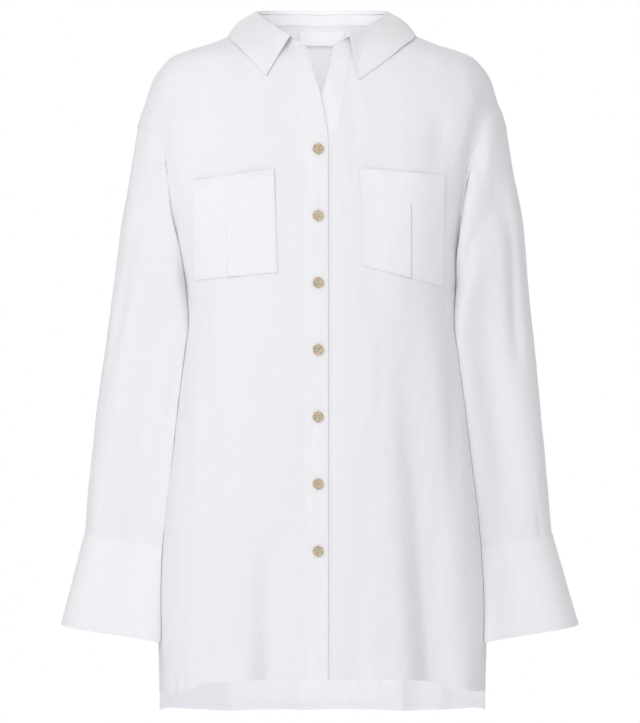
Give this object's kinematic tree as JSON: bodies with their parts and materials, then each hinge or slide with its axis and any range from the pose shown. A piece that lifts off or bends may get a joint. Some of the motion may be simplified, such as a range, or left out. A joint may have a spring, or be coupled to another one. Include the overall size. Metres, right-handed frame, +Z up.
{
  "type": "linen shirt",
  "caption": "Oversized long-sleeved linen shirt with a turned-down collar, patch pockets, wide cuffs and side vents, hollow and filled out as when worn.",
  "frame": {"origin": "between the wearer's shoulders at the height of the neck, where the wearer holds the shirt up", "axes": "+Z up, the front faces -Y, +X on the right as one faces the shirt (the wearer's left)"},
  "size_m": [0.596, 0.2553, 0.8169],
  "materials": {
    "linen": "white open-weave linen, one layer, soft and matt",
    "linen_double": "the same linen in two layers, a little denser and whiter",
    "label_tape": "bare white woven tape",
    "button_shell": "tan natural-look button, dull sheen"
  },
  "bodies": {
    "root": {"front_over": "linen", "front_under": "linen", "placket_over": "linen_double", "placket_under": "linen_double", "back": "linen", "yoke": "linen", "sleeve_left": "linen", "sleeve_right": "linen", "cuff_left": "linen_double", "cuff_right": "linen_double", "collar_stand": "linen_double", "collar_fall": "linen_double", "pocket_left": "linen_double", "pocket_right": "linen_double", "neck_label": "label_tape", "button_1": "button_shell", "button_2": "button_shell", "button_3": "button_shell", "button_4": "button_shell", "button_5": "button_shell", "button_6": "button_shell", "button_7": "button_shell"}
  },
  "joints": []
}
